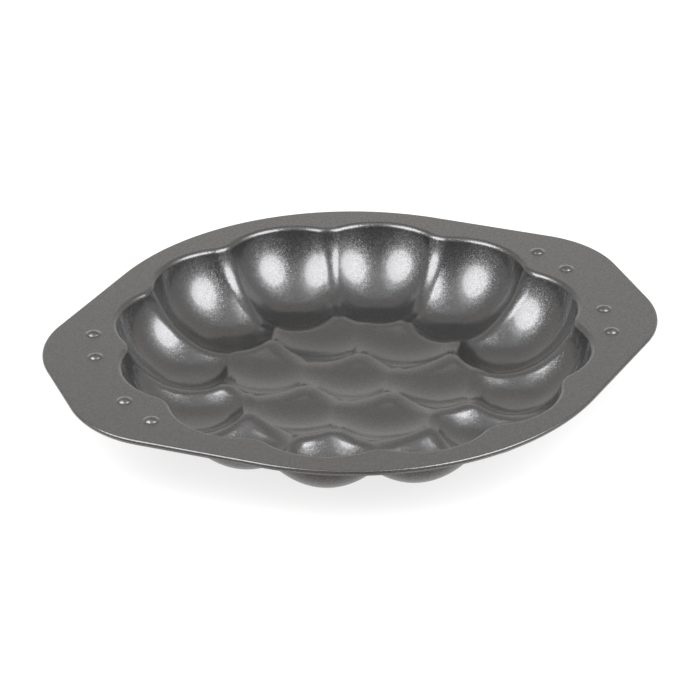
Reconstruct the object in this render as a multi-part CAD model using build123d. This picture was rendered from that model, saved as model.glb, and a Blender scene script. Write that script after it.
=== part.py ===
from build123d import *
import math
import os

# A pressed steel cake pan: a flower of round cups under a flat flange with two ears.
# Z is up, X runs from ear to ear, and the origin is on the resting plane, below the middle cup.
# All sizes are in millimetres and all angles in degrees.

sheet_thickness = 0.8

# The cups, which are equal spheres that meet in ridges. The wider flats of the inner cups
# and of the middle one lie a little higher than those of the outer cups, which the pan stands on.
cup_radius = 45.0
cup_centre_rise = 4.4
cup_flat_radius = 6.0
inner_cup_flat_radius = 15.5
inner_ring_radius = 49.8
outer_ring_radius = 95.7
inner_cup_count = 6
outer_cup_count = 12
inner_ring_start_angle = 30.0
rim_bend_radius = 2.5

# The flange and its two ears
flange_width = 13.8
ear_reach = 23.5
ear_corner_radius = 63.0
ear_end_straight = 46.0

# The hem, which is the edge of the flange bent down and in
hem_bend_radius = 1.2
hem_lean_angle = 38.0
hem_leg_length = 2.6

# The pressed bumps on the ears
bump_base_radius = 4.5
bump_height = 2.0
bump_inset = 4.6
bump_angles = (10.3, 20.6)

# Sizes that follow from the ones above
flat_depth = math.sqrt(cup_radius**2 - cup_flat_radius**2)
flange_top = flat_depth + sheet_thickness - cup_centre_rise
cup_centre_height = flange_top + cup_centre_rise
rim_drop = cup_centre_rise + rim_bend_radius
rim_start_radius = math.sqrt((cup_radius + rim_bend_radius) ** 2 - rim_drop**2)
flange_circle_radius = outer_ring_radius + rim_start_radius + flange_width
half_length = flange_circle_radius + ear_reach
ear_corner_x = half_length - ear_corner_radius
ear_corner_y = ear_end_straight / 2
bump_ring_radius = flange_circle_radius - bump_inset
beyond = 2 * half_length
on_line = 1e-6


def polar(radius, angle):
    """Gives the point at this radius and angle about the origin."""
    return radius * math.cos(math.radians(angle)), radius * math.sin(math.radians(angle))


def ear_tangent_angle():
    """Gives the direction in which the ear's slanted edge faces."""
    reach = math.hypot(ear_corner_x, ear_corner_y)
    bearing = math.degrees(math.atan2(ear_corner_y, ear_corner_x))
    return bearing + math.degrees(math.acos((flange_circle_radius - ear_corner_radius) / reach))


def cup_places():
    """Lists every cup's name and centre, from the middle outwards."""
    places = [("cup_centre", (0.0, 0.0))]
    for i in range(inner_cup_count):
        angle = inner_ring_start_angle + i * 360 / inner_cup_count
        places.append((f"cup_inner_{i + 1}", polar(inner_ring_radius, angle)))
    for i in range(outer_cup_count):
        angle = i * 360 / outer_cup_count
        places.append((f"cup_outer_{i + 1}", polar(outer_ring_radius, angle)))
    return places


def nearer_side(outline, own, other):
    """Clips an outline to the points that lie nearer to one centre than to the other."""
    direction = (other[0] - own[0], other[1] - own[1])
    middle = ((other[0] + own[0]) / 2, (other[1] + own[1]) / 2)

    def past(point):
        return (point[0] - middle[0]) * direction[0] + (point[1] - middle[1]) * direction[1]

    clipped = []
    for here, after in zip(outline, outline[1:] + outline[:1]):
        if past(here) <= on_line:
            clipped.append(here)
        if min(past(here), past(after)) < -on_line and max(past(here), past(after)) > on_line:
            share = past(here) / (past(here) - past(after))
            clipped.append(tuple(a + share * (b - a) for a, b in zip(here, after)))
    return clipped


def cell_prism(own, places):
    """Makes the upright prism that one cup owns, bounded half-way to each other cup."""
    outline = [(-beyond, -beyond), (beyond, -beyond), (beyond, beyond), (-beyond, beyond)]
    for _, other in places:
        if other != own:
            outline = nearer_side(outline, own, other)
    return extrude(make_face(Polyline(*outline, close=True)), flange_top + sheet_thickness)


def turned(edges):
    """Turns a closed profile, drawn as radius and height, all the way round the Z axis."""
    return revolve(Plane.XZ * make_face(edges), Axis.Z)


def cup_shell(flat_radius):
    """Makes one whole cup with its rolled rim and a flat of a given radius, centred on the Z axis."""
    outer_radius = cup_radius + sheet_thickness
    floor_top = cup_centre_height - math.sqrt(cup_radius**2 - flat_radius**2)
    floor_under = floor_top - sheet_thickness
    outer_flat_radius = math.sqrt(outer_radius**2 - (cup_centre_height - floor_under) ** 2)
    flat_angle = math.degrees(math.asin(flat_radius / cup_radius))
    outer_flat_angle = math.degrees(math.asin(outer_flat_radius / outer_radius))
    rim_dip = math.degrees(math.atan2(rim_drop, rim_start_radius))
    centre = (0, cup_centre_height)
    rim_centre = (rim_start_radius, flange_top - rim_bend_radius)
    under_rim_radius = rim_bend_radius - sheet_thickness
    inside = CenterArc(centre, cup_radius, flat_angle - 90, 90 - rim_dip - flat_angle)
    outside = CenterArc(centre, outer_radius, outer_flat_angle - 90, 90 - rim_dip - outer_flat_angle)
    rim_over = CenterArc(rim_centre, rim_bend_radius, 90, 90 - rim_dip)
    rim_under = CenterArc(rim_centre, under_rim_radius, 90, 90 - rim_dip)
    floor = Line((0, floor_top), inside @ 0)
    axis_edge = Line((0, floor_under), (0, floor_top))
    foot = Line((0, floor_under), outside @ 0)
    flange_joint = Line(rim_over @ 0, rim_under @ 0)
    return turned([axis_edge, floor, inside, rim_over, flange_joint, rim_under, outside, foot])


def flange_outline(inset):
    """Draws the outer edge of the flange with its two ears, moved in by an inset."""
    tangent = ear_tangent_angle()
    circle = flange_circle_radius - inset
    corner = ear_corner_radius - inset
    corner_turn = polar(corner, tangent)
    tip = (ear_corner_x + corner_turn[0], ear_corner_y + corner_turn[1])
    leave = polar(circle, tangent)
    quarter = [
        Line((half_length - inset, 0), (half_length - inset, ear_corner_y)),
        CenterArc((ear_corner_x, ear_corner_y), corner, 0, tangent),
        Line(tip, leave),
        CenterArc((0, 0), circle, tangent, 90 - tangent),
    ]
    half = quarter + [mirror(edge, Plane.YZ) for edge in quarter]
    return make_face(half + [mirror(edge, Plane.XZ) for edge in half])


def flange_plate(places):
    """Makes the flat of the flange, open over the cups and over the bumps."""
    flat = extrude(flange_outline(hem_bend_radius), sheet_thickness)
    flat -= Cylinder(outer_ring_radius, 3 * sheet_thickness)
    for name, (x, y) in places:
        if name.startswith("cup_outer"):
            flat -= Pos(x, y) * Cylinder(rim_start_radius, 3 * sheet_thickness)
    for x, y in bump_places():
        flat -= Pos(x, y) * Cylinder(bump_base_radius, 3 * sheet_thickness)
        flat -= Pos(-x, y) * Cylinder(bump_base_radius, 3 * sheet_thickness)
    return Pos(0, 0, flange_top - sheet_thickness) * flat


def sector(start, end):
    """Makes a wedge about the Z axis between two directions less than half a turn apart."""
    corners = [(0, 0), polar(beyond, start), polar(beyond, (start + end) / 2), polar(beyond, end)]
    return extrude(make_face(Polyline(*corners, close=True)), 2 * flange_top)


def hem_profile():
    """Draws the hem's section: X is outwards from where the bend begins, Y is up from its centre."""
    inner_radius = hem_bend_radius - sheet_thickness
    turn = 90 + hem_lean_angle
    over = CenterArc((0, 0), hem_bend_radius, 90 - turn, turn)
    under = CenterArc((0, 0), inner_radius, 90 - turn, turn)
    leg = polar(hem_leg_length, -90 - hem_lean_angle)
    over_end = (over @ 0) + Vector(*leg)
    under_end = (under @ 0) + Vector(*leg)
    edges = [over, under, Line(over @ 0, over_end), Line(under @ 0, under_end)]
    return edges + [Line(over_end, under_end), Line(over @ 1, under @ 1)]


def hem_arc(centre, radius, start, size):
    """Makes the hem along an arc of the flange's edge."""
    section = make_face([Pos(radius - hem_bend_radius, 0) * edge for edge in hem_profile()])
    arc = revolve(Rot(0, 0, start) * (Plane.XZ * section), Axis.Z, size)
    return Pos(*centre, flange_top - hem_bend_radius) * arc


def hem_straight(start, end, facing):
    """Makes the hem along a straight of the flange's edge that faces in a given direction."""
    length = math.dist(start, end)
    section = Rot(0, 0, facing) * (Plane.XZ * make_face(hem_profile()))
    along = Vector(end[0] - start[0], end[1] - start[1]).normalized()
    return Pos(*start, flange_top - hem_bend_radius) * extrude(section, length, dir=along)


def ear_hem():
    """Makes the hem round the right ear, from one slanted edge to the other."""
    tangent = ear_tangent_angle()
    circle = flange_circle_radius - hem_bend_radius
    corner = ear_corner_radius - hem_bend_radius
    leave = polar(circle, tangent)
    corner_turn = polar(corner, tangent)
    tip = (ear_corner_x + corner_turn[0], ear_corner_y + corner_turn[1])
    end_x = half_length - hem_bend_radius
    upper = hem_straight(tip, leave, tangent)
    upper += hem_arc((ear_corner_x, ear_corner_y), ear_corner_radius, 0, tangent)
    whole = upper + mirror(upper, Plane.XZ)
    return whole + hem_straight((end_x, -ear_corner_y), (end_x, ear_corner_y), 0)


def bump_places():
    """Lists the centres of the bumps on the right ear."""
    return [polar(bump_ring_radius, side * angle) for side in (1, -1) for angle in bump_angles]


def bump():
    """Makes one hollow bump, centred on the Z axis, with its foot in the flange."""
    dome_radius = (bump_base_radius**2 + bump_height**2) / (2 * bump_height)
    dome_centre = flange_top + bump_height - dome_radius
    dome = Pos(0, 0, dome_centre) * Sphere(dome_radius)
    hollow = Pos(0, 0, dome_centre) * Sphere(dome_radius - sheet_thickness)
    reach = bump_height + sheet_thickness
    place = Pos(0, 0, flange_top - sheet_thickness)
    column = place * Cylinder(bump_base_radius, reach, align=(Align.CENTER, Align.CENTER, Align.MIN))
    foot = place * Cylinder(bump_base_radius, sheet_thickness, align=(Align.CENTER, Align.CENTER, Align.MIN))
    return (dome & column) + foot - hollow


def save(shape, name):
    """Writes one node."""
    export_step(shape, f"parts/{name}.step")


os.makedirs("parts", exist_ok=True)
places = cup_places()

outer_shell = cup_shell(cup_flat_radius)
inner_shell = cup_shell(inner_cup_flat_radius)
for name, centre in places:
    shell = outer_shell if name.startswith("cup_outer") else inner_shell
    save(Pos(*centre) * shell & cell_prism(centre, places), name)

ear_start = ear_tangent_angle()
plate = flange_plate(places)
save(plate & sector(ear_start, 180 - ear_start), "flange_back")
save(plate & sector(ear_start - 180, -ear_start), "flange_front")
save(plate & sector(-ear_start, ear_start), "ear_right")
save(plate & sector(180 - ear_start, 180 + ear_start), "ear_left")

hem_back = hem_arc((0, 0), flange_circle_radius, ear_start, 180 - 2 * ear_start)
hem_right = ear_hem()
save(hem_back, "hem_back")
save(mirror(hem_back, Plane.XZ), "hem_front")
save(hem_right, "hem_right")
save(mirror(hem_right, Plane.YZ), "hem_left")

bumps = [Pos(x, y) * bump() for x, y in bump_places()]
save(Compound(children=bumps), "grip_bumps_right")
save(Compound(children=[mirror(one, Plane.YZ) for one in bumps]), "grip_bumps_left")
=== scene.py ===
import math
import bpy
import numpy as np
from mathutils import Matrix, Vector
from mathutils.geometry import delaunay_2d_cdt


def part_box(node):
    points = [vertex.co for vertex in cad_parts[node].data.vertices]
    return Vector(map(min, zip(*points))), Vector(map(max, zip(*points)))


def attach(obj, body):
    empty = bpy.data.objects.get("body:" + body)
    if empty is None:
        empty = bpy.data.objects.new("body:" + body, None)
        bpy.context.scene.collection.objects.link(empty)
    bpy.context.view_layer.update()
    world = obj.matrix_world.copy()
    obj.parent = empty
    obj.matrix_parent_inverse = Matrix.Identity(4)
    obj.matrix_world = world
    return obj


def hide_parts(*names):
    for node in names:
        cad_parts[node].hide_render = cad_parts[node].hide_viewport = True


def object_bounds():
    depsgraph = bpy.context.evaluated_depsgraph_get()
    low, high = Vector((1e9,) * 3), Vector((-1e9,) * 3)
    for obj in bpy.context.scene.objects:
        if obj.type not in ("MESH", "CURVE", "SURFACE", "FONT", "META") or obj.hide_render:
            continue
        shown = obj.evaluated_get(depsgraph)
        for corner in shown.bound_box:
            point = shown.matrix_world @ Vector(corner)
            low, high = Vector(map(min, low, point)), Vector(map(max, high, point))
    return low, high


# A cake pan pressed from one steel sheet and sprayed with a grey non-stick coating.
# The mesh code works in millimetres and turns to metres when it makes a mesh.

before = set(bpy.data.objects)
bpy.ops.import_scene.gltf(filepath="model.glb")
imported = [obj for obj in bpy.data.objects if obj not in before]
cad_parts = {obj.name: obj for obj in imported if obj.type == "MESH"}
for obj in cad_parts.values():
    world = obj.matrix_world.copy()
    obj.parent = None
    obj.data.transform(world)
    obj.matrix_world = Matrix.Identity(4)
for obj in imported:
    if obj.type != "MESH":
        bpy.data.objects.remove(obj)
cadLow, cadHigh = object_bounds()
print("frame loaded with", len(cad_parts), "nodes")

mm = 0.001

sheet = {
    "thickness": 0.8,
    "flangeTop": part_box("flange_back")[1].z / mm,
    "rimBend": 2.5,          # radius of the bend from the flange into the cups
    "pointSpacing": 1.8,     # between the points along a forming line
    "bendLength": 4.0,       # a bend of one radian gets as many points as this length
    "paintedShadeFacing": -0.1,  # faces that look further down than this get the darker copy of the coat, painted shade
}

cups = {
    "centreRise": 4.4,       # the cups' centres lie this far above the flange
    "wallRadius": 54.93,     # of the arc that an outer cup's wall follows from its floor to the rim
    "wallOffset": 9.0,       # its centre lies this far past the cup's axis, which gives the wall its draft
    "wallCentre": 52.2,      # height of that centre
    "outerFloorRadius": 90.0,  # the outer cups flatten out towards their lowest point
    "outerFloor": 0.802,     # the sheet's thickness, so that they stand on the ground
    "innerRadius": 57.75,    # the inner cups are shallower bowls than the outer ones
    "innerFloor": 3.77,      # height of their lowest point
    "innerRing": 49.8,
    "outerRing": 95.7,
    "innerCount": 6,
    "outerCount": 12,
    "innerStart": 30.0,
    "ridgeRound": 5.0,       # how far from a ridge on the floor its rounding starts
    "notchRound": 7.0,       # the same where the ridge runs up into the rim
    "ridgeHeight": 16.0,     # below this the ridges keep the floor's rounding
    "floorBlend": 2.0,       # between an outer cup's wall and its floor
    "wallRange": (35.0, 54.0),   # least and greatest distance of the sheet from a cup's centre
    "ridgeRange": (20.0, 60.0),  # the same from the point half-way to the next cup
    "rimRange": (35.0, 70.0),    # the same along the flange
    "neighbourRange": 80.0,  # cups closer than this shape each other
    "tryPoints": {"column": 120, "ridge": 300, "rim": 600},  # for choosing where the real points go
    "rings": {"outer": 40, "inner": 22, "centre": 22},
}
centreHeight = sheet["flangeTop"] + cups["centreRise"]
upwards = np.array([0.0, 0.0, 1.0])


def polar(radius, degrees):
    turn = math.radians(degrees)
    return np.array([radius * math.cos(turn), radius * math.sin(turn)])


def cupPlaces():
    found = {"cup_centre": np.zeros(2)}
    for i in range(cups["innerCount"]):
        turn = cups["innerStart"] + i * 360 / cups["innerCount"]
        found[f"cup_inner_{i + 1}"] = polar(cups["innerRing"], turn)
    for i in range(cups["outerCount"]):
        found[f"cup_outer_{i + 1}"] = polar(cups["outerRing"], i * 360 / cups["outerCount"])
    return found


places = cupPlaces()


# The pressed surface, as a distance that is negative in the open cups and positive in the metal

def bowlDistance(points, name):
    def beyond(centreAt, radius):
        return np.linalg.norm(points - np.append(places[name], centreAt), axis=-1) - radius

    if not name.startswith("cup_outer"):
        return beyond(cups["innerFloor"] + cups["innerRadius"], cups["innerRadius"])
    across = np.linalg.norm(points[..., :2] - places[name], axis=-1)
    wall = np.hypot(across + cups["wallOffset"], points[..., 2] - cups["wallCentre"]) - cups["wallRadius"]
    floor = beyond(cups["outerFloor"] + cups["outerFloorRadius"], cups["outerFloorRadius"])
    blend = np.maximum(cups["floorBlend"] - np.abs(wall - floor), 0)
    return np.maximum(wall, floor) + blend**2 / (4 * cups["floorBlend"])


def roundedUnion(distances, rounding):
    reach = np.maximum(rounding - distances, 0)
    return np.maximum(distances.min(axis=0), rounding) - np.sqrt((reach**2).sum(axis=0))


def between(height, low, high, first, last):
    # Goes smoothly from one value to another as the height goes from low to high
    climb = np.clip((height - low) / (high - low), 0, 1)
    return first + (last - first) * climb**2 * (3 - 2 * climb)


def cavityDistance(points, names=tuple(places)):
    height = points[..., 2]
    rounding = between(height, cups["ridgeHeight"], sheet["flangeTop"],
                       cups["ridgeRound"], cups["notchRound"])
    return roundedUnion(np.stack([bowlDistance(points, name) for name in names]), rounding)


def sheetDistance(points, names=tuple(places)):
    both = np.stack([cavityDistance(points, names), sheet["flangeTop"] - points[..., 2]])
    return roundedUnion(both, sheet["rimBend"])


def sheetNormals(points):
    step = 0.02
    slopes = []
    for axis in np.eye(3) * step:
        slopes.append(sheetDistance(points - axis) - sheetDistance(points + axis))
    normals = np.stack(slopes, axis=-1)
    return normals / np.linalg.norm(normals, axis=-1, keepdims=True)


def reachSurface(origin, directions, nearest, farthest, distance):
    # Halves the range along each direction until it closes on the place where the distance turns positive
    low = np.full(directions.shape[:-1], float(nearest))
    high = np.full(directions.shape[:-1], float(farthest))
    halvings = 36
    for _ in range(halvings):
        middle = (low + high) / 2
        inAir = distance(origin + middle[..., None] * directions) < 0
        low = np.where(inAir, middle, low)
        high = np.where(inAir, high, middle)
    return origin + low[..., None] * directions


def spreadEvenly(points, keys, count):
    # Chooses keys so that their points stand evenly apart, and closer where the line bends
    steps = np.diff(points, axis=0)
    lengths = np.linalg.norm(steps, axis=1)
    turns = np.linalg.norm(np.diff(steps / lengths[:, None], axis=0), axis=1) / 2
    weights = lengths.copy()
    weights[1:] += turns * sheet["bendLength"]
    weights[:-1] += turns * sheet["bendLength"]
    run = np.concatenate([[0], np.cumsum(weights)])
    return np.interp(np.linspace(0, run[-1], count), run, keys), run[-1]


def countFor(length):
    return max(6, int(round(length / sheet["pointSpacing"])))


def easeOut(count):
    # Shares from 0 to 1 that crowd towards 1, where the surface turns away from the cup's centre
    return 1 - (1 - np.linspace(0, 1, count))**2


# The lines where cups meet each other and where they open into the flange

farOut = 4 * cups["outerRing"]
corners = {}
ridgeLines = {}


def cornerPoint(place):
    # The point of the surface above a place where three cups meet
    key = (round(float(place[0]), 3), round(float(place[1]), 3))
    if key not in corners:
        top = np.array([[place[0], place[1], centreHeight]])
        corners[key] = reachSurface(top, -upwards[None], cups["centreRise"], centreHeight, sheetDistance)[0]
    return corners[key]


def beyondRim(points):
    return cavityDistance(points) - sheet["rimBend"]


def notchPoint(middle, along):
    # The point between two outer cups where their rims run together into the flange
    start = np.append(middle, sheet["flangeTop"])[None]
    return reachSurface(start, np.append(along, 0)[None], *cups["ridgeRange"], beyondRim)[0]


def makeRidge(middle, start, end):
    along = (end - start) / np.linalg.norm(end - start)
    first = cornerPoint(start)
    opensOut = np.linalg.norm(end) > 2 * cups["outerRing"]
    last = notchPoint(middle, along) if opensOut else cornerPoint(end)
    foot = np.append(middle, centreHeight)

    def angleOf(point):
        return math.atan2((point[:2] - middle) @ along, centreHeight - point[2])

    def lineAt(angles):
        directions = np.column_stack([np.outer(np.sin(angles), along), -np.cos(angles)])
        line = reachSurface(foot, directions, *cups["ridgeRange"], sheetDistance)
        line[0], line[-1] = first, last
        return line

    shares = easeOut(cups["tryPoints"]["ridge"])
    angles = angleOf(first) + (angleOf(last) - angleOf(first)) * shares
    dense = lineAt(angles)
    length = spreadEvenly(dense, angles, 2)[1]
    return lineAt(spreadEvenly(dense, angles, countFor(length))[0])


def ridgeBetween(name, other, start, end):
    key = tuple(sorted((name, other)))
    if key not in ridgeLines:
        ends = sorted((start, end), key=np.linalg.norm)
        ridgeLines[key] = makeRidge((places[name] + places[other]) / 2, *ends)
    line = ridgeLines[key]
    leads = np.linalg.norm(line[0, :2] - start) < np.linalg.norm(line[-1, :2] - start)
    return line if leads else line[::-1]


def openingLine(place, first, last):
    # The outer end of one cup's rim bend, from notch to notch
    start = np.append(place, sheet["flangeTop"])
    turns = [math.atan2(*(point[:2] - place)[::-1]) for point in (first, last)]
    if turns[1] < turns[0]:
        turns[1] += 2 * math.pi

    def lineAt(angles):
        directions = np.column_stack([np.cos(angles), np.sin(angles), np.zeros_like(angles)])
        line = reachSurface(start, directions, *cups["rimRange"], beyondRim)
        line[0], line[-1] = first, last
        return line

    angles = np.linspace(*turns, cups["tryPoints"]["rim"])
    dense = lineAt(angles)
    length = spreadEvenly(dense, angles, 2)[1]
    return lineAt(spreadEvenly(dense, angles, countFor(length))[0])


def cellEdges(name):
    # Cuts a wide square half-way to each other cup, and says which cup lies beyond each edge.
    # The square is turned a little, so that no cut runs through one of its corners.
    own = places[name]
    squareTurn = 7
    outline = [(polar(farOut, squareTurn + 90 * i), None) for i in range(4)]
    for other, place in places.items():
        if other == name:
            continue
        direction, middle = place - own, (place + own) / 2
        kept = []
        for (here, beyond), (after, _) in zip(outline, outline[1:] + outline[:1]):
            side, nextSide = (here - middle) @ direction, (after - middle) @ direction
            if side <= 0:
                kept.append((here, beyond))
            if side * nextSide < 0:
                crossing = here + (after - here) * side / (side - nextSide)
                kept.append((crossing, other if side < 0 else beyond))
        outline = kept
    edges = []
    for (here, beyond), (after, _) in zip(outline, outline[1:] + outline[:1]):
        edges.append((here, after, beyond))
    opensOut = any(edge[2] is None for edge in edges)
    while opensOut and edges[-1][2] is not None:
        edges.append(edges.pop(0))
    return [edge for edge in edges if edge[2] is not None], opensOut


openings = {}


def cellBoundary(name):
    edges, opensOut = cellEdges(name)
    runs = [ridgeBetween(name, beyond, start, end)[:-1] for start, end, beyond in edges]
    if opensOut:
        lastRidge = ridgeBetween(name, edges[-1][2], edges[-1][0], edges[-1][1])
        openings[name] = openingLine(places[name], lastRidge[-1], runs[0][0])
        runs.append(openings[name][:-1])
    return np.vstack(runs)


# Meshes

def rotated(points, degrees):
    turn = math.radians(degrees)
    spin = np.eye(3)
    spin[:2, :2] = [[math.cos(turn), -math.sin(turn)], [math.sin(turn), math.cos(turn)]]
    return points @ spin.T


def joined(surfaces):
    # Puts several surfaces of points, normals and faces into one
    points, normals, faces, used = [], [], [], 0
    for somePoints, someNormals, someFaces in surfaces:
        points.append(somePoints)
        normals.append(someNormals)
        faces.extend(tuple(used + corner for corner in face) for face in someFaces)
        used += len(somePoints)
    return np.vstack(points), np.vstack(normals), faces


def makePiece(name, surface, replaced):
    # Gives a surface the sheet's thickness, closes its edges and keeps its exact normals for shading
    points, normals, faces = surface
    count = len(points)
    under = points - sheet["thickness"] * normals
    directed = {(face[i - 1], face[i]) for face in faces for i in range(len(face))}
    rims = sorted(edge for edge in directed if edge[::-1] not in directed)
    undersides = [tuple(corner + count for corner in reversed(face)) for face in faces]
    sides = [(b, a, a + count, b + count) for a, b in rims]
    mesh = bpy.data.meshes.new(name)
    mesh.from_pydata((np.vstack([points, under]) * mm).tolist(), [], faces + undersides + sides)
    mesh.shade_smooth()
    allNormals = np.vstack([normals, -normals])
    corner = np.empty(len(mesh.loops), np.int32)
    mesh.loops.foreach_get("vertex_index", corner)
    shading = allNormals[corner]
    flat = np.empty(len(mesh.polygons) * 3)
    mesh.polygons.foreach_get("normal", flat)
    starts = np.empty(len(mesh.polygons), np.int32)
    mesh.polygons.foreach_get("loop_start", starts)
    firstSide = starts[len(faces) * 2] if sides else len(shading)
    shading[firstSide:] = np.repeat(flat.reshape(-1, 3)[len(faces) * 2:], 4, axis=0)
    mesh.normals_split_custom_set(shading.tolist())
    # The hem's leg looks down, so it gets the darker copy of the coat: painted shade from the shaded floor
    # below
    materialOf = (flat[2::3] < sheet["paintedShadeFacing"]).astype(np.int32)
    # The undersides and cut edges get that darker copy too: painted shade
    materialOf[len(faces):] = 1
    mesh.polygons.foreach_set("material_index", materialOf)
    piece = bpy.data.objects.new(name, mesh)
    bpy.context.scene.collection.objects.link(piece)
    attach(piece, "root")
    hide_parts(replaced)
    return piece


def cupSurface(name):
    place = places[name]
    boundary = cellBoundary(name)
    centre = np.append(place, centreHeight)
    near = [other for other in places if np.linalg.norm(places[other] - place) < cups["neighbourRange"]]
    rings = cups["rings"][name.split("_")[1]]
    offsets = boundary - centre
    turns = np.arctan2(offsets[:, 1], offsets[:, 0])
    tilts = np.arctan2(np.hypot(offsets[:, 0], offsets[:, 1]), -offsets[:, 2])

    def nearSheet(points):
        return sheetDistance(points, near)

    def columnsAt(angles):
        alongX, alongY = np.sin(angles) * np.cos(turns)[:, None], np.sin(angles) * np.sin(turns)[:, None]
        directions = np.stack([alongX, alongY, -np.cos(angles)], -1)
        columns = reachSurface(centre, directions, *cups["wallRange"], nearSheet)
        columns[:, -1] = boundary
        return columns

    angles = tilts[:, None] * easeOut(cups["tryPoints"]["column"])
    dense = columnsAt(angles)
    chosen = [spreadEvenly(column, tilt, rings + 1)[0] for column, tilt in zip(dense, angles)]
    columns = columnsAt(np.array(chosen))
    points = np.vstack([columns[:1, 0], columns[:, 1:].transpose(1, 0, 2).reshape(-1, 3)])
    normals = sheetNormals(points)
    onFlange = points[:, 2] > sheet["flangeTop"] - 1e-6
    normals[onFlange] = upwards
    count = len(boundary)
    faces = [(0, 1 + i, 1 + (i + 1) % count) for i in range(count)]
    for ring in range(rings - 1):
        for i in range(count):
            here, after = 1 + ring * count + i, 1 + ring * count + (i + 1) % count
            faces.append((here, here + count, after + count, after))
    return points, normals, faces


flange = {
    "earReach": (cadHigh.x - cadHigh.y) / mm,  # how far the ears stand out past the round flange
    "cornerRadius": 63.0,
    "endStraight": 46.0,
    "pathSpacing": 2.6,      # of the points along the hem
    "meshSpacing": 6.0,      # of the rows of triangles inside the flat
}
hem = {
    "bendRadius": 1.2,
    "leanAngle": 38.0,       # past straight down, towards the cups
    "legLength": 2.6,
    "bendSteps": 12,
    "legSteps": 3,
}
bumps = {
    "footRadius": 5.3,       # where the hollow fillet round the bump starts
    "filletRadius": 2.5,
    "height": 2.0,
    "inset": 4.6,            # of the bumps' circle from the flange's round edge
    "angles": (10.3, 20.6),
    "segments": 48,
    "domeSteps": 10,
    "filletSteps": 6,
}
circleRadius = cadHigh.y / mm
cornerX = circleRadius + flange["earReach"] - flange["cornerRadius"]
cornerY = flange["endStraight"] / 2
cornerBearing = math.degrees(math.atan2(cornerY, cornerX))
slantAngle = cornerBearing + math.degrees(
    math.acos((circleRadius - flange["cornerRadius"]) / math.hypot(cornerX, cornerY)))


def arcPath(centre, radius, start, end):
    steps = max(2, int(round(radius * math.radians(end - start) / flange["pathSpacing"])))
    facings = np.linspace(start, end, steps + 1)
    return [(centre + polar(radius - hem["bendRadius"], facing), facing) for facing in facings]


def straightPath(start, end, facing):
    steps = max(1, int(round(np.linalg.norm(end - start) / flange["pathSpacing"])))
    return [(start + (end - start) * i / steps, facing) for i in range(steps + 1)]


def edgePath(side):
    # The line where the hem's bend begins, with the way that the edge faces, anticlockwise
    if side in ("back", "front"):
        path = arcPath(np.zeros(2), circleRadius, slantAngle, 180 - slantAngle)
    else:
        lower = arcPath(np.array([cornerX, -cornerY]), flange["cornerRadius"], -slantAngle, 0)
        upper = arcPath(np.array([cornerX, cornerY]), flange["cornerRadius"], 0, slantAngle)
        leave = polar(circleRadius - hem["bendRadius"], slantAngle)
        enter = polar(circleRadius - hem["bendRadius"], -slantAngle)
        path = straightPath(enter, lower[0][0], -slantAngle)[:-1] + lower[:-1]
        path += straightPath(lower[-1][0], upper[0][0], 0)[:-1] + upper[:-1]
        path += straightPath(upper[-1][0], leave, slantAngle)
    points = np.array([[*point, sheet["flangeTop"]] for point, _ in path])
    facings = np.array([facing for _, facing in path])
    if side in ("front", "left"):
        return rotated(points, 180), facings + 180
    return points, facings


def bumpCentres(side):
    ring = circleRadius - bumps["inset"]
    centres = [polar(ring, sign * turn) for sign in (1, -1) for turn in bumps["angles"]]
    return [centre if side == "right" else -centre for centre in centres]


def circlePoints(centre, radius, count):
    turns = np.linspace(0, 360, count, endpoint=False)
    return np.array([[*(centre + polar(radius, turn)), sheet["flangeTop"]] for turn in turns])


def flangeSurface(side, opening):
    # Fills the flat between the cups' rims and the hem, round the feet of the bumps
    outer, _ = edgePath(side)
    bearings = np.degrees(np.arctan2(opening[:, 1], opening[:, 0]))
    first, last = [math.degrees(math.atan2(end[1], end[0])) for end in (outer[0], outer[-1])]

    def nearestTo(bearing):
        return int(np.abs((bearings - bearing + 180) % 360 - 180).argmin())

    begin, end = nearestTo(first), nearestTo(last)
    inner = np.roll(opening, -begin, axis=0)[: (end - begin) % len(opening) + 1]
    loops = [np.vstack([outer, inner[::-1]])]
    centres = bumpCentres(side) if side in ("right", "left") else []
    loops += [circlePoints(centre, bumps["footRadius"], bumps["segments"])[::-1] for centre in centres]
    margin = flange["meshSpacing"] / 2
    outerBearings = np.unwrap(np.arctan2(outer[:, 1], outer[:, 0]))
    outerReach = np.hypot(outer[:, 0], outer[:, 1])
    seeds = []
    rowHeight = math.sqrt(0.75)  # of a triangle with sides of 1
    steps = int(cadHigh.x / mm / flange["meshSpacing"]) + 1
    for row in range(-steps, steps + 1):
        for column in range(-steps, steps + 1):
            seed = np.array([column + 0.5 * (row % 2), row * rowHeight]) * flange["meshSpacing"]
            bearing = math.atan2(seed[1], seed[0])
            while bearing < outerBearings[0]:
                bearing += 2 * math.pi
            room = (bearing - outerBearings[0], outerBearings[-1] - bearing)
            reach = np.linalg.norm(seed)
            if min(room) * reach < margin or reach > np.interp(bearing, outerBearings, outerReach) - margin:
                continue
            if any(np.linalg.norm(seed - centre) < bumps["footRadius"] + margin for centre in centres):
                continue
            seeds.append([*seed, sheet["flangeTop"]])
    seeds = np.array(seeds)
    seeds = seeds[cavityDistance(seeds) > sheet["rimBend"] + margin]
    edges, used = [], 0
    for loop in loops:
        edges += [(used + i, used + (i + 1) % len(loop)) for i in range(len(loop))]
        used += len(loop)
    points = np.vstack(loops + [seeds])
    flat = [Vector(point[:2]) for point in points]
    _, _, triangles, sources, _, _ = delaunay_2d_cdt(flat, edges, [], 4, 1e-4)
    faces = [tuple(sources[corner][0] for corner in triangle) for triangle in triangles]
    return points, np.tile(upwards, (len(points), 1)), faces


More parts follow.
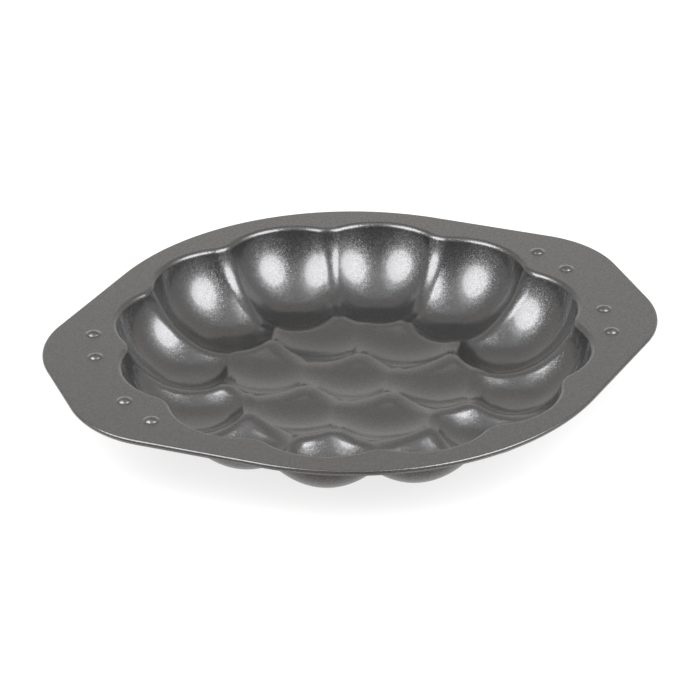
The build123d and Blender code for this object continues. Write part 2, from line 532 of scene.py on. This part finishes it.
def hemSurface(side):
    # The sheet's edge: over the bend, then straight down and in to the free edge
    path, facings = edgePath(side)
    lowest = -hem["leanAngle"]
    profile = [(0.0, bearing) for bearing in np.linspace(90, lowest, hem["bendSteps"] + 1)]
    profile += [(hem["legLength"] * (i + 1) / hem["legSteps"], lowest) for i in range(hem["legSteps"])]
    rows, rowNormals = [], []
    turns = np.radians(facings)
    outwards = np.column_stack([np.cos(turns), np.sin(turns), np.zeros(len(turns))])
    for leg, bearing in profile:
        out, up = polar(hem["bendRadius"], bearing) + polar(leg, lowest - 90)
        rows.append(path + out * outwards + (up - hem["bendRadius"]) * upwards)
        tilt = polar(1, bearing)
        rowNormals.append(tilt[0] * outwards + tilt[1] * upwards)
    rows[0], rowNormals[0] = path, np.tile(upwards, (len(path), 1))
    count = len(path)
    faces = []
    for row in range(len(profile) - 1):
        for i in range(count - 1):
            here = row * count + i
            faces.append((here, here + count, here + count + 1, here + 1))
    return np.vstack(rows), np.vstack(rowNormals), faces


def bumpSurface(centre):
    # A dome that runs out into the flange through a hollow fillet
    both = (bumps["footRadius"]**2 + bumps["height"]**2) / (2 * bumps["height"])
    dome = both - bumps["filletRadius"]
    steepest = math.asin(bumps["footRadius"] / both)
    profile = []
    for tilt in np.linspace(0, steepest, bumps["domeSteps"] + 1)[1:]:
        profile.append((dome * math.sin(tilt), bumps["height"] - dome + dome * math.cos(tilt), tilt))
    for tilt in np.linspace(steepest, 0, bumps["filletSteps"] + 1)[1:]:
        fillet = bumps["filletRadius"]
        profile.append((bumps["footRadius"] - fillet * math.sin(tilt), fillet - fillet * math.cos(tilt), tilt))
    count = bumps["segments"]
    points = [np.array([[*centre, sheet["flangeTop"] + bumps["height"]]])]
    normals = [upwards[None]]
    for reach, up, tilt in profile:
        ring = circlePoints(centre, reach, count)
        outwards = circlePoints(np.zeros(2), 1, count) - sheet["flangeTop"] * upwards
        points.append(ring + up * upwards)
        normals.append(math.sin(tilt) * outwards + math.cos(tilt) * upwards)
    faces = [(0, 1 + i, 1 + (i + 1) % count) for i in range(count)]
    for ring in range(len(profile) - 1):
        for i in range(count):
            here, after = 1 + ring * count + i, 1 + ring * count + (i + 1) % count
            faces.append((here, here + count, after + count, after))
    return np.vstack(points), np.vstack(normals), faces


pieces = []
for name in places:
    pieces.append(makePiece("pressed_" + name, cupSurface(name), name))
print("cups made:", len(pieces))

opening = np.vstack([openings[f"cup_outer_{i + 1}"][:-1] for i in range(cups["outerCount"])])
flangeNodes = {"back": "flange_back", "front": "flange_front", "right": "ear_right", "left": "ear_left"}
for side, node in flangeNodes.items():
    pieces.append(makePiece("pressed_" + node, flangeSurface(side, opening), node))
    pieces.append(makePiece("pressed_hem_" + side, hemSurface(side), "hem_" + side))
for side in ("right", "left"):
    domes = joined([bumpSurface(centre) for centre in bumpCentres(side)])
    pieces.append(makePiece("pressed_bumps_" + side, domes, "grip_bumps_" + side))
print("flange, hem and bumps made:", len(pieces), "pieces in all")


# Materials

def linearColour(hexCode):
    channels = [int(hexCode[i:i + 2], 16) / 255 for i in (1, 3, 5)]
    return [c / 12.92 if c <= 0.04045 else ((c + 0.055) / 1.055)**2.4 for c in channels] + [1.0]


def addNode(tree, kind, settings, links=None):
    node = tree.nodes.new(kind)
    for key, value in settings.items():
        if isinstance(key, int) or key in node.inputs:
            node.inputs[key].default_value = value
        else:
            setattr(node, key, value)
    for key, source in (links or {}).items():
        tree.links.new(source, node.inputs[key])
    return node


coating = {
    "dark": "#343435",
    "light": "#464647",
    # The underside colours are the same coat painted darker and browner: painted shade for faces that look down
    # at the shaded floor
    "shadedUndersideDark": "#261f1b",
    "shadedUndersideLight": "#342b27",
    "gloss": 1.0,            # the clear top of the coat
    "undersideGloss": 0.3,
    "glossRoughness": 0.15,
    "roughness": 0.34,
    "roughnessSpread": 0.05,
    "flakeSize": 0.5,        # mm; the real flakes are a tenth of this and would not show
    "flakeTilt": 0.11,       # how far a flake's facing strays from the surface's own
    "peelSize": 2.4,         # mm, the soft unevenness of a sprayed and baked coat
    "peelDepth": 0.0006,     # mm
}


def makeCoating(name, dark, light, gloss):
    # PTFE coat with metal flake, sprayed and baked: satin, darker than the steel, with a fine glitter
    material = bpy.data.materials.new(name)
    material.use_nodes = True
    tree = material.node_tree
    tree.nodes.clear()
    place = addNode(tree, "ShaderNodeTexCoord", {}).outputs["Object"]
    flakes = addNode(tree, "ShaderNodeTexVoronoi", {"Scale": 1 / (coating["flakeSize"] * mm)},
                     {"Vector": place})
    grey = addNode(tree, "ShaderNodeSeparateColor", {}, {"Color": flakes.outputs["Color"]})
    colour = addNode(tree, "ShaderNodeMix",
                     {"data_type": "RGBA", 6: linearColour(dark), 7: linearColour(light)},
                     {0: grey.outputs["Red"]})
    centred = addNode(tree, "ShaderNodeVectorMath", {"operation": "SUBTRACT", 1: (0.5, 0.5, 0.5)},
                      {0: flakes.outputs["Color"]})
    tilt = addNode(tree, "ShaderNodeVectorMath", {"operation": "SCALE", "Scale": 2 * coating["flakeTilt"]},
                   {0: centred.outputs["Vector"]})
    peel = addNode(tree, "ShaderNodeTexNoise", {"Scale": 1 / (coating["peelSize"] * mm), "Detail": 2.0},
                   {"Vector": place})
    bump = addNode(tree, "ShaderNodeBump", {"Strength": 1.0, "Distance": coating["peelDepth"] * mm},
                   {"Height": peel.outputs["Fac"]})
    tilted = addNode(tree, "ShaderNodeVectorMath", {"operation": "ADD"},
                     {0: bump.outputs["Normal"], 1: tilt.outputs["Vector"]})
    facing = addNode(tree, "ShaderNodeVectorMath", {"operation": "NORMALIZE"}, {0: tilted.outputs["Vector"]})
    rough = addNode(tree, "ShaderNodeMapRange",
                    {"To Min": coating["roughness"] - coating["roughnessSpread"],
                     "To Max": coating["roughness"] + coating["roughnessSpread"]},
                    {"Value": grey.outputs["Green"]})
    shader = addNode(tree, "ShaderNodeBsdfPrincipled",
                     {"Metallic": 1.0, "Coat Weight": gloss, "Coat Roughness": coating["glossRoughness"]},
                     {"Base Color": colour.outputs[2], "Roughness": rough.outputs["Result"],
                      "Normal": facing.outputs["Vector"], "Coat Normal": bump.outputs["Normal"]})
    addNode(tree, "ShaderNodeOutputMaterial", {}, {"Surface": shader.outputs["BSDF"]})
    return material


insideCoat = makeCoating("sprayedNonstickInside", coating["dark"], coating["light"], coating["gloss"])
# A darker, browner copy of the coat: painted shade for the undersides and downward faces
shadedUndersideCoat = makeCoating("nonstickWithPaintedShade", coating["shadedUndersideDark"], coating["shadedUndersideLight"],
                          coating["undersideGloss"])
for piece in pieces:
    piece.data.materials.append(insideCoat)
    piece.data.materials.append(shadedUndersideCoat)
print("materials made")


# Studio: pale floor, white surroundings and softboxes

studio = {
    "floorSize": 6.0,        # metres
    "floorColour": "#ededeb",
    "floorGlow": 0.8,        # share of the floor's look that is plain white
    "ambient": 0.85,         # strength of the room's diffuse light; to the camera and in gloss it is 1
    "roomColour": "#fffcf7",
    "lampColour": "#fefdff",
    "darkBearing": -111.0,   # the room behind the camera is left dark
    "darkHeight": 12.0,
    "darkReach": (12.0, 48.0),  # degrees from its middle to where it starts to fade and where it ends
    "darkness": 0.5,
    "softboxes": {
        "left": {"bearing": -171, "height": 46, "distance": 1.1, "width": 0.9, "tall": 0.8, "power": 15.2},
        "leftHalo": {"bearing": -171, "height": 47, "distance": 1.14, "width": 1.4, "tall": 1.2, "power": 6.2},
        "right": {"bearing": -50, "height": 46, "distance": 1.1, "width": 0.88, "tall": 0.8, "power": 15.0},
        "rightHalo": {"bearing": -50, "height": 47, "distance": 1.14, "width": 1.36, "tall": 1.2, "power": 6.0},
        "top": {"bearing": -111, "height": 88, "distance": 1.3, "width": 1.5, "tall": 1.1, "power": 1.9},
    },
}


def directionTo(bearing, height):
    flat = polar(math.cos(math.radians(height)), bearing)
    return Vector((flat[0], flat[1], math.sin(math.radians(height))))


def makeFloor():
    half = studio["floorSize"] / 2
    mesh = bpy.data.meshes.new("floor")
    corners = [(-half, -half, 0), (half, -half, 0), (half, half, 0), (-half, half, 0)]
    mesh.from_pydata(corners, [], [(0, 1, 2, 3)])
    floor = bpy.data.objects.new("floor", mesh)
    bpy.context.scene.collection.objects.link(floor)
    material = bpy.data.materials.new("matteWhitePaperFloor")
    material.use_nodes = True
    tree = material.node_tree
    tree.nodes.clear()
    paper = addNode(tree, "ShaderNodeBsdfDiffuse", {"Color": linearColour(studio["floorColour"])})
    white = addNode(tree, "ShaderNodeEmission", {"Color": (1, 1, 1, 1), "Strength": 1.0})
    ray = addNode(tree, "ShaderNodeLightPath", {})
    seen = addNode(tree, "ShaderNodeMath", {"operation": "MAXIMUM"},
                   {0: ray.outputs["Is Camera Ray"], 1: ray.outputs["Is Glossy Ray"]})
    share = addNode(tree, "ShaderNodeMath", {"operation": "MULTIPLY", 1: studio["floorGlow"]},
                    {0: seen.outputs["Value"]})
    look = addNode(tree, "ShaderNodeMixShader", {},
                   {0: share.outputs["Value"], 1: paper.outputs["BSDF"], 2: white.outputs["Emission"]})
    addNode(tree, "ShaderNodeOutputMaterial", {}, {"Surface": look.outputs["Shader"]})
    mesh.materials.append(material)


def makeWorld():
    world = bpy.data.worlds.new("studioSurroundings")
    bpy.context.scene.world = world
    world.use_nodes = True
    tree = world.node_tree
    tree.nodes.clear()
    ray = addNode(tree, "ShaderNodeLightPath", {})
    seen = addNode(tree, "ShaderNodeMath", {"operation": "MAXIMUM"},
                   {0: ray.outputs["Is Camera Ray"], 1: ray.outputs["Is Glossy Ray"]})
    alsoSeen = addNode(tree, "ShaderNodeMath", {"operation": "MAXIMUM"},
                       {0: seen.outputs["Value"], 1: ray.outputs["Is Transmission Ray"]})
    place = addNode(tree, "ShaderNodeTexCoord", {}).outputs["Generated"]
    middle = directionTo(studio["darkBearing"], studio["darkHeight"])
    nearness = addNode(tree, "ShaderNodeVectorMath", {"operation": "DOT_PRODUCT", 1: middle}, {0: place})
    full, none = [math.cos(math.radians(reach)) for reach in studio["darkReach"]]
    room = addNode(tree, "ShaderNodeMapRange",
                   {"interpolation_type": "SMOOTHSTEP", "From Min": none, "From Max": full,
                    "To Min": 1.0, "To Max": studio["darkness"]},
                   {"Value": nearness.outputs["Value"]})
    behindView = addNode(tree, "ShaderNodeMath", {"operation": "MAXIMUM"},
                         {0: room.outputs["Result"], 1: ray.outputs["Is Camera Ray"]})
    strength = addNode(tree, "ShaderNodeMapRange", {"To Min": studio["ambient"], "To Max": 1.0},
                       {"Value": alsoSeen.outputs["Value"]})
    dimmed = addNode(tree, "ShaderNodeMath", {"operation": "MULTIPLY"},
                     {0: strength.outputs["Result"], 1: behindView.outputs["Value"]})
    colour = addNode(tree, "ShaderNodeMix",
                     {"data_type": "RGBA", 6: linearColour(studio["roomColour"]), 7: (1, 1, 1, 1)},
                     {0: ray.outputs["Is Camera Ray"]})
    light = addNode(tree, "ShaderNodeBackground", {},
                    {"Color": colour.outputs[2], "Strength": dimmed.outputs["Value"]})
    addNode(tree, "ShaderNodeOutputWorld", {}, {"Surface": light.outputs["Background"]})


def makeSoftboxes():
    for name, box in studio["softboxes"].items():
        light = bpy.data.lights.new("softbox_" + name, "AREA")
        light.shape = "ELLIPSE"
        light.size, light.size_y = box["width"], box["tall"]
        light.energy = box["power"]
        light.color = linearColour(studio["lampColour"])[:3]
        lamp = bpy.data.objects.new("softbox_" + name, light)
        bpy.context.scene.collection.objects.link(lamp)
        towards = directionTo(box["bearing"], box["height"])
        lamp.location = towards * box["distance"]
        lamp.rotation_euler = towards.to_track_quat("Z", "Y").to_euler()


viewpoint = {
    "target": (-0.00895, -0.01881, 0.0410),
    "bearing": -111.23,
    "height": 29.415,
    "distance": 2.0907,
    "lens": 184.93,
}


def makeCamera():
    towards = directionTo(viewpoint["bearing"], viewpoint["height"])
    data = bpy.data.cameras.new("camera")
    data.lens = viewpoint["lens"]
    data.sensor_width = 36.0
    camera = bpy.data.objects.new("camera", data)
    bpy.context.scene.collection.objects.link(camera)
    camera.location = Vector(viewpoint["target"]) + towards * viewpoint["distance"]
    camera.rotation_euler = towards.to_track_quat("Z", "Y").to_euler()
    bpy.context.scene.camera = camera


makeFloor()
makeWorld()
makeSoftboxes()
makeCamera()
bpy.context.scene.view_settings.view_transform = "Standard"
print("studio and camera made")
